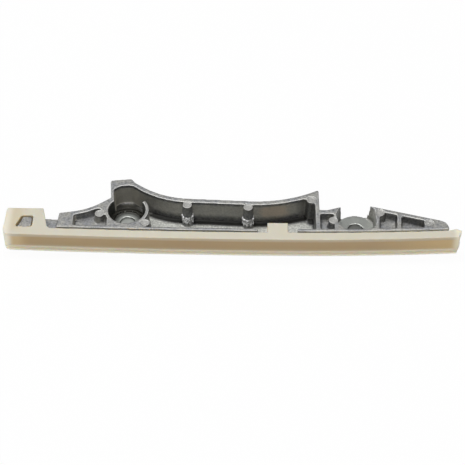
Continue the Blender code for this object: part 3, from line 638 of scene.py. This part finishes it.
pad_shape = turned_template("pin_pad_shape", [
    (PIN_PAD_RADIUS, -PAD_DEPTH),
    (PIN_PAD_RADIUS, -PAD_EDGE),
    (PIN_PAD_RADIUS - ROUND_MIDDLE * PAD_EDGE, -ROUND_MIDDLE * PAD_EDGE),
    (PIN_PAD_RADIUS - PAD_EDGE, 0.0),
    (PAD_DISH_RADIUS + PAD_DISH_SLOPE, 0.0),
    (PAD_DISH_RADIUS, -PAD_DISH_DEPTH),
    (PAD_NUB_FOOT, -PAD_DISH_DEPTH),
    (PAD_NUB_TOP, -PAD_NUB_DEPTH),
], PAD_SIDES)
pads = placed_copies(
    "pin_pads", pad_shape, pressed,
    [pad.to_3d() + Vector((0.0, 0.0, RIM_HEIGHT - PAD_BELOW_RIM)) for pad in PIN_PADS],
    [(0.0, 0.0, PAD_TURN * i) for i in range(len(PIN_PADS))],
    [(1.0, 1.0, 1.0)] * len(PIN_PADS), 1.0)
for face in pads.data.polygons:
    face.use_smooth = abs(face.normal.z) < NEARLY
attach(pads, "root")


# Post feet
# The two free-standing posts in the main hollow rise from thicker feet, cast with them. A foot is
# fluted, and its ledge, its flutes and the fillet at its bottom catch the light.

FOOT_RADIUS = 3.7 * MM
FOOT_LEDGE = 9.0 * MM
FOOT_ROUND = 0.4 * MM
FOOT_FILLET = 0.5 * MM
FOOT_SINK = 0.5 * MM
FOOT_SPREAD_RISE = 0.1 * MM
FOOT_LEDGE_RISE = 0.2 * MM
FOOT_WAIST = 0.2 * FOOT_FILLET
FOOT_WAIST_RISE = 1.2 * FOOT_FILLET
FOOT_FLUTES = 9
FLUTE_DEPTH = 0.45 * MM
STEM_RADIUS = 2.5 * MM
WEB_HEIGHT = 2.5 * MM
FOOT_SIDES = 108
FOOT_TURN = 0.7
FOOTED_POSTS = (PIN_PADS[2], PIN_PADS[3])

# Bright cast skin: crinkled where the metal ran last and only partly metallic; its pale tone and its
# near-white patches are painted highlight. The crinkles are drawn at 1.6 mm.
foot_painted_bright, tree, shader, place = new_finish("bright_cast_foot")
crinkle = add_node(tree, "ShaderNodeTexNoise", {}, {
    "Vector": place, "Scale": 1 / (1.6 * MM), "Detail": 1.0})
# Painted highlight: near-white patches follow the crinkles.
painted_glint_share = add_node(tree, "ShaderNodeMapRange", {"interpolation_type": "SMOOTHSTEP"}, {
    "Value": crinkle.outputs["Fac"], "From Min": 0.42, "From Max": 0.58})
tone = add_node(tree, "ShaderNodeMix", {"data_type": "RGBA"}, {
    0: painted_glint_share.outputs["Result"], 6: linear("#a2a2a0"), 7: linear("#ffffff")})
crinkle_bump = add_node(tree, "ShaderNodeBump", {}, {
    "Strength": 0.6, "Distance": 0.25 * MM, "Height": crinkle.outputs["Fac"]})
tree.links.new(tone.outputs[2], shader.inputs["Base Color"])
tree.links.new(crinkle_bump.outputs["Normal"], shader.inputs["Normal"])
shader.inputs["Metallic"].default_value = 0.3
shader.inputs["Roughness"].default_value = 0.42

foot_shape = turned_template("post_foot_shape", [
    (FOOT_RADIUS + FOOT_FILLET, WEB_HEIGHT - FOOT_SINK),
    (FOOT_RADIUS + FOOT_FILLET, WEB_HEIGHT + FOOT_SPREAD_RISE),
    (FOOT_RADIUS + ROUND_MIDDLE * FOOT_FILLET, WEB_HEIGHT + ROUND_MIDDLE * FOOT_FILLET),
    (FOOT_RADIUS - FOOT_WAIST, WEB_HEIGHT + FOOT_WAIST_RISE),
    (FOOT_RADIUS, FOOT_LEDGE - FOOT_ROUND),
    (FOOT_RADIUS - ROUND_MIDDLE * FOOT_ROUND, FOOT_LEDGE - ROUND_MIDDLE * FOOT_ROUND),
    (FOOT_RADIUS - FOOT_ROUND, FOOT_LEDGE),
    (STEM_RADIUS, FOOT_LEDGE + FOOT_LEDGE_RISE),
], FOOT_SIDES)
for vert in foot_shape.data.vertices:
    angle = math.atan2(vert.co.y, vert.co.x)
    share = 1 - FLUTE_DEPTH / FOOT_RADIUS * (0.5 + 0.5 * math.cos(FOOT_FLUTES * angle))
    vert.co.x *= share
    vert.co.y *= share
post_feet = placed_copies(
    "post_feet", foot_shape, foot_painted_bright, [post.to_3d() for post in FOOTED_POSTS],
    [(0.0, 0.0, FOOT_TURN * i) for i in range(len(FOOTED_POSTS))],
    [(1.0, 1.0, 1.0)] * len(FOOTED_POSTS), 1.0)
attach(post_feet, "root")


# Stud shoulder
# The stud in the shoe's window stands on a shoulder of the casting that nearly fills the window. It
# is a low block with rounded edges, cast with the tongue and as dull as the rest.

# Front left, front right, rear right and rear left.
SHOULDER_CORNERS = [Vector(corner) * MM for corner in (
    (-125.3, -14.9), (-117.1, -14.9), (-117.1, -7.1), (-122.6, -7.1))]
SHOULDER_BOTTOM = 11.3 * MM
SHOULDER_TOP = 15.2 * MM
SHOULDER_ROUND = 0.6 * MM
SHOULDER_SEGMENTS = 4

work = bmesh.new()
top = work.faces.new([work.verts.new((corner.x, corner.y, SHOULDER_TOP))
                      for corner in SHOULDER_CORNERS])
down = bmesh.ops.extrude_face_region(work, geom=[top])
for item in down["geom"]:
    if isinstance(item, bmesh.types.BMVert):
        item.co.z = SHOULDER_BOTTOM
bmesh.ops.recalc_face_normals(work, faces=work.faces)
bmesh.ops.bevel(work, geom=work.edges, offset=SHOULDER_ROUND, offset_type="OFFSET",
                segments=SHOULDER_SEGMENTS, profile=CIRCULAR_PROFILE, affect="EDGES",
                clamp_overlap=True)
mesh = bpy.data.meshes.new("stud_shoulder")
work.to_mesh(mesh)
work.free()
shoulder = bpy.data.objects.new("stud_shoulder", mesh)
bpy.context.scene.collection.objects.link(shoulder)
for face in mesh.polygons:
    face.use_smooth = True
mesh.materials.append(cast_skin)
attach(shoulder, "root")


# Slide shoe
# The chain runs on this long shoe, moulded in natural polyamide and slid on to the carrier's front.
# Oil has tanned its running face. Light passes through its thin ends, and its pale and warm tones
# there, in the window and on the lower rib are painted light.

SHOE_VOXEL = 0.35 * MM
SHOE_SMOOTHING = 3
SHOE_ROUND = 0.35 * MM
SHOE_TRIANGLES = 190000
SHOE_TOP = 16.2 * MM
UPPER_RIB = 13.8 * MM
LOWER_RIB = 3.9 * MM
CROWN = Vector((30.25, -24.77)) * MM
RAIL_RADIUS_LEFT = 4040.0 * MM
RAIL_RADIUS_RIGHT = 1540.0 * MM
FACE_DEPTH = 3.4 * MM
WINDOW_LEFT = -127.0 * MM
WINDOW_RIGHT = -113.0 * MM
WINDOW_FRONT = -16.0 * MM
WINDOW_REAR = -5.0 * MM
SHOE_LEFT = -133.05 * MM
SHOE_RIGHT = 133.05 * MM

# Natural polyamide: cream and half matt, and light goes a little way into it. Its tone drifts over
# about 11 mm.
nylon, tree, shader, place = new_finish("moulded_natural_polyamide")
clouds = add_node(tree, "ShaderNodeTexNoise", {}, {
    "Vector": place, "Scale": 1 / (11 * MM), "Detail": 2.0})
tan_share = add_node(tree, "ShaderNodeAttribute", {"attribute_name": "oil_tan"}, {})
# Painted light: amber for light passing through the ends, the window and the flap, pale at the tips
# and on the lower rib.
amber_share = add_node(tree, "ShaderNodeAttribute", {"attribute_name": "amber"}, {})
pale_share = add_node(tree, "ShaderNodeAttribute", {"attribute_name": "pale"}, {})
body_tone = add_node(tree, "ShaderNodeMix", {"data_type": "RGBA"}, {
    0: clouds.outputs["Fac"], 6: linear("#d5d1c2"), 7: linear("#d2ccb9")})
tan_tone = add_node(tree, "ShaderNodeMix", {"data_type": "RGBA"}, {
    0: clouds.outputs["Fac"], 6: linear("#b69b77"), 7: linear("#b49e75")})
tanned = add_node(tree, "ShaderNodeMix", {"data_type": "RGBA"}, {
    0: tan_share.outputs["Fac"], 6: body_tone.outputs[2], 7: tan_tone.outputs[2]})
ambered = add_node(tree, "ShaderNodeMix", {"data_type": "RGBA"}, {
    0: amber_share.outputs["Fac"], 6: tanned.outputs[2], 7: linear("#d2b785")})
paled = add_node(tree, "ShaderNodeMix", {"data_type": "RGBA"}, {
    0: pale_share.outputs["Fac"], 6: ambered.outputs[2], 7: linear("#fbf3df")})
# The fine texture of the mould and handling marks are drawn at 1.5 mm.
skin = add_node(tree, "ShaderNodeTexNoise", {}, {
    "Vector": place, "Scale": 1 / (1.5 * MM), "Detail": 3.0})
skin_roughness = add_node(tree, "ShaderNodeMapRange", {}, {
    "Value": skin.outputs["Fac"], "From Min": 0.3, "From Max": 0.7, "To Min": 0.42, "To Max": 0.55})
skin_bump = add_node(tree, "ShaderNodeBump", {}, {
    "Strength": 0.12, "Distance": 0.05 * MM, "Height": skin.outputs["Fac"]})
tree.links.new(paled.outputs[2], shader.inputs["Base Color"])
tree.links.new(skin_roughness.outputs["Result"], shader.inputs["Roughness"])
tree.links.new(skin_bump.outputs["Normal"], shader.inputs["Normal"])
shader.inputs["IOR"].default_value = 1.53
shader.inputs["Subsurface Weight"].default_value = 0.6
shader.inputs["Subsurface Radius"].default_value = (1.0, 0.7, 0.4)
shader.inputs["Subsurface Scale"].default_value = 1.2 * MM


def slide_face_y(x):
    """Y of the slide face at x, along its two arcs."""
    radius = RAIL_RADIUS_LEFT if x < CROWN.x else RAIL_RADIUS_RIGHT
    return CROWN.y + radius - math.sqrt(radius ** 2 - (x - CROWN.x) ** 2)


# The same kind of shares as on the casting, here for the shoe's tones.
FACING_FRONT = (0.35, 0.8)
TAN_STARTS = (2.0 * MM, 13.0 * MM)
TAN_ENDS = (2.0 * MM, 8.0 * MM)
UPPER_RIB_TAN = 0.75
UPPER_RIB_TAN_LOST = 0.35
RECESS_TAN = 0.7
RECESS_TAN_FULL = 7.5 * MM
LOWER_RIB_TAN = 0.15


def oil_tan(co, normal):
    """How tanned the shoe is: fully in the running recess, less on the ribs' faces."""
    if normal.y > -FACING_FRONT[0] or co.y > slide_face_y(co.x) + FACE_DEPTH:
        return 0.0
    if co.z > UPPER_RIB:
        height = UPPER_RIB_TAN - UPPER_RIB_TAN_LOST * smooth_step(UPPER_RIB, SHOE_TOP, co.z)
    elif co.z > LOWER_RIB:
        height = RECESS_TAN + (1 - RECESS_TAN) * smooth_step(LOWER_RIB, RECESS_TAN_FULL, co.z)
    else:
        height = LOWER_RIB_TAN
    ends = smooth_step(*TAN_STARTS, co.x - SHOE_LEFT) * smooth_step(*TAN_ENDS, SHOE_RIGHT - co.x)
    return smooth_step(*FACING_FRONT, -normal.y) * height * ends


AMBER_STARTS = (1.5 * MM, 5.0 * MM)
AMBER_FADES = (6.0 * MM, 17.0 * MM)
AMBER_FADES_RIGHT = (5.0 * MM, 60.0 * MM)
AMBER_ON_FLAP = (-22.0 * MM, -15.0 * MM)
WINDOW_AMBER = 0.7
LEFT_AMBER = 0.8
RIGHT_AMBER = 0.75
FLAP_AMBER = 0.3


def amber(co, normal):
    """How much warm painted light, for light passing through, tints the thin ends' running face, the
    window's walls and the flap.
    """
    in_window = WINDOW_LEFT < co.x < WINDOW_RIGHT and WINDOW_FRONT < co.y < WINDOW_REAR
    if in_window and abs(normal.z) < MOSTLY:
        return WINDOW_AMBER
    from_left = co.x - SHOE_LEFT
    left = (1 - smooth_step(*AMBER_FADES, from_left)) * smooth_step(*AMBER_STARTS, from_left)
    right = 1 - smooth_step(*AMBER_FADES_RIGHT, SHOE_RIGHT - co.x)
    if normal.y < -HALFWAY and LOWER_RIB < co.z < UPPER_RIB:
        return max(LEFT_AMBER * left, RIGHT_AMBER * right)
    return FLAP_AMBER * left * smooth_step(*AMBER_ON_FLAP, co.y)


PALE_LEFT = (1.0 * MM, 6.0 * MM)
PALE_LEFT_FACING = (0.2, 0.6)
PALE_LEFT_SHARE = 0.5
PALE_RIGHT = (2.0 * MM, 6.0 * MM)
PALE_RIGHT_SHARE = 0.6
PALE_LIP = (LOWER_RIB + 0.1 * MM, LOWER_RIB + 1.6 * MM)


def pale(co, normal):
    """How much pale painted light covers the tips, for the light that passes through, and the lower
    rib, for the light that falls on it.
    """
    facing = PALE_LEFT_SHARE + (1 - PALE_LEFT_SHARE) * smooth_step(*PALE_LEFT_FACING, -normal.y)
    left = facing * (1 - smooth_step(*PALE_LEFT, co.x - SHOE_LEFT))
    right = PALE_RIGHT_SHARE * (1 - smooth_step(*PALE_RIGHT, SHOE_RIGHT - co.x))
    at_face = co.y < slide_face_y(co.x) + FACE_DEPTH
    lip = 1 - smooth_step(*PALE_LIP, co.z) if at_face else 0.0
    return max(left, right, lip)


def on_shoe_outside(edge):
    """Whether an edge is one of the shoe's outer long edges, which the mould leaves rounded."""
    return all(vert.co.y < slide_face_y(vert.co.x) + FACE_DEPTH for vert in edge.verts)


shoe = rounded_copy("slide_shoe", "shoe", on_shoe_outside, SHOE_ROUND, SHOE_VOXEL, SHOE_SMOOTHING)
thin_out(shoe, SHOE_TRIANGLES)
paint_shares(shoe, oil_tan=oil_tan, amber=amber, pale=pale)
shoe.data.materials.clear()
shoe.data.materials.append(nylon)
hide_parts("slide_shoe")
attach(shoe, "root")


# Plastic flecks
# The moulded shoe was scraped when it was slid on, and thin flecks of it stick to the casting's
# front rim beside the bolt ring.

FLECK_COUNT = 20
FLECK_FROM = -61.0 * MM
FLECK_TO = -41.5 * MM
FLECK_SIZE = 0.5 * MM
FLECK_FRONT = 6.5 * MM
FLECK_THICK = 0.15 * MM
FLECK_STRAY = (-0.2 * MM, 0.4 * MM)
FLECK_TURN = 0.5
FLECK_LENGTHS = (0.8, 2.0)
FLECK_WIDTHS = (0.5, 1.1)
FLECK_SEED = 5

# Scraped polyamide: the shoe's plastic, dull and soaked with oil. Its mottling is drawn at 1.2 mm.
fleck_plastic, tree, shader, place = new_finish("scraped_polyamide_fleck")
mottle = add_node(tree, "ShaderNodeTexNoise", {}, {
    "Vector": place, "Scale": 1 / (1.2 * MM), "Detail": 2.0})
tone = add_node(tree, "ShaderNodeMix", {"data_type": "RGBA"}, {
    0: mottle.outputs["Fac"], 6: linear("#ab9779"), 7: linear("#dccdb4")})
tree.links.new(tone.outputs[2], shader.inputs["Base Color"])
shader.inputs["IOR"].default_value = 1.53
shader.inputs["Roughness"].default_value = 0.6

work = bmesh.new()
bmesh.ops.create_icosphere(work, subdivisions=1, radius=1.0)
fleck_shape = template_object("fleck_shape", work)
chance = random.Random(FLECK_SEED)
fleck_places = []
fleck_turns = []
fleck_sizes = []
for i in range(FLECK_COUNT):
    x = FLECK_FROM + (FLECK_TO - FLECK_FROM) * (i + chance.random()) / FLECK_COUNT
    y = slide_face_y(x) + FLECK_FRONT + chance.uniform(*FLECK_STRAY)
    fleck_places.append((x, y, RIM_HEIGHT - FLECK_THICK))
    fleck_turns.append((0.0, 0.0, chance.uniform(-FLECK_TURN, FLECK_TURN)))
    fleck_sizes.append((chance.uniform(*FLECK_LENGTHS), chance.uniform(*FLECK_WIDTHS),
                        FLECK_THICK / FLECK_SIZE))
flecks = placed_copies("plastic_flecks", fleck_shape, fleck_plastic, fleck_places, fleck_turns,
                       fleck_sizes, FLECK_SIZE)
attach(flecks, "root")


# Floor
# A white table. To the camera and in reflections it is nearly all an even white glow, and the small
# rest takes the light, so that a trace of the guide's shadow stays.

FLOOR_HALF = 10.0
FLOOR_GLOW = 0.96

floor_mesh = bpy.data.meshes.new("floor")
work = bmesh.new()
bmesh.ops.create_grid(work, x_segments=1, y_segments=1, size=FLOOR_HALF)
work.to_mesh(floor_mesh)
work.free()
floor = bpy.data.objects.new("floor", floor_mesh)
bpy.context.scene.collection.objects.link(floor)

table_white = bpy.data.materials.new("white_table")
table_white.use_nodes = True
tree = table_white.node_tree
tree.nodes.clear()
paint = add_node(tree, "ShaderNodeBsdfDiffuse", {}, {"Color": linear("#f3f3f3")})
glow = add_node(tree, "ShaderNodeEmission", {}, {"Color": (1.0, 1.0, 1.0, 1.0), "Strength": 1.0})
rays = add_node(tree, "ShaderNodeLightPath", {}, {})
seen = add_node(tree, "ShaderNodeMath", {"operation": "MAXIMUM"}, {
    0: rays.outputs["Is Camera Ray"], 1: rays.outputs["Is Glossy Ray"]})
share = add_node(tree, "ShaderNodeMath", {"operation": "MULTIPLY"}, {
    0: seen.outputs[0], 1: FLOOR_GLOW})
surface = add_node(tree, "ShaderNodeMixShader", {}, {
    0: share.outputs[0], 1: paint.outputs[0], 2: glow.outputs[0]})
add_node(tree, "ShaderNodeOutputMaterial", {}, {"Surface": surface.outputs[0]})
floor_mesh.materials.append(table_white)


# Light
# A long softbox high above the guide and a little behind it, a smaller one high at the left, and a
# wide one in front, behind and above the camera, in a dim room. Places and sizes are in metres.

ROOM_LIGHT = 0.16


def add_softbox(name, place, width, depth, power):
    """A softbox that faces the guide."""
    data = bpy.data.lights.new(name, "AREA")
    data.shape = "RECTANGLE"
    data.size = width
    data.size_y = depth
    data.energy = power
    box = bpy.data.objects.new(name, data)
    box.location = place
    box.rotation_euler = (-Vector(place)).to_track_quat("-Z", "Y").to_euler()
    bpy.context.scene.collection.objects.link(box)


world = bpy.data.worlds.new("studio")
world.use_nodes = True
bpy.context.scene.world = world
sky = world.node_tree.nodes["Background"]
sky.inputs["Color"].default_value = (1.0, 1.0, 1.0, 1.0)
sky.inputs["Strength"].default_value = ROOM_LIGHT
add_softbox("high_softbox", place=(0.0, 0.52, 1.93), width=1.2, depth=0.5, power=20.0)
add_softbox("left_softbox", place=(-0.97, 0.35, 1.71), width=0.5, depth=0.5, power=8.0)
add_softbox("front_softbox", place=(0.0, -1.49, 1.34), width=1.4, depth=0.8, power=13.4)

bpy.context.scene.view_settings.view_transform = "Standard"
